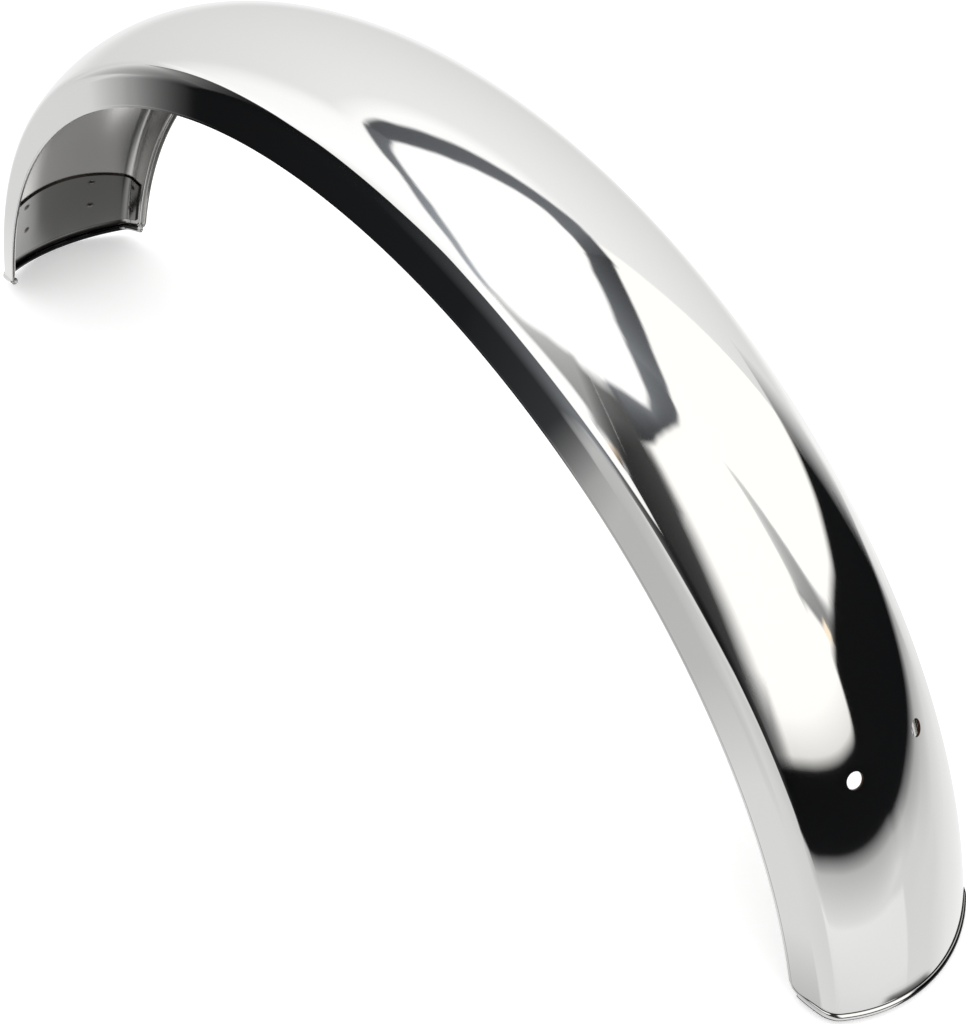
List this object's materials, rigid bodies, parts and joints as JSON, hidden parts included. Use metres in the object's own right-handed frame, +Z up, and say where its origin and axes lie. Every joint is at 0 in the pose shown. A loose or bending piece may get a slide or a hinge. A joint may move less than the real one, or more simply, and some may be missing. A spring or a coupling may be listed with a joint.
{
  "type": "motorcycle front mudguard",
  "caption": "Polished stainless steel motorcycle front mudguard: an arched blade with side flanges, a rolled rim, bolt holes near one end and a stiffening plate inside the other",
  "frame": {"origin": "middle of the bounding box's underside, where the arch stands on the rolled rims of its two ends", "axes": "+X along the mudguard towards the end with the stay holes, +Y across it, +Z up out of the crown's middle; the wheel's axis is parallel to Y, 89.47 mm below the origin"},
  "size_m": [0.667, 0.094, 0.2555],
  "materials": {
    "polished_steel": "mirror polished stainless steel",
    "inner_steel": "plain stainless sheet, dull on the inside"
  },
  "bodies": {
    "root": {"mudguard_blade": "polished_steel", "stiffening_plate": "inner_steel"}
  },
  "joints": []
}
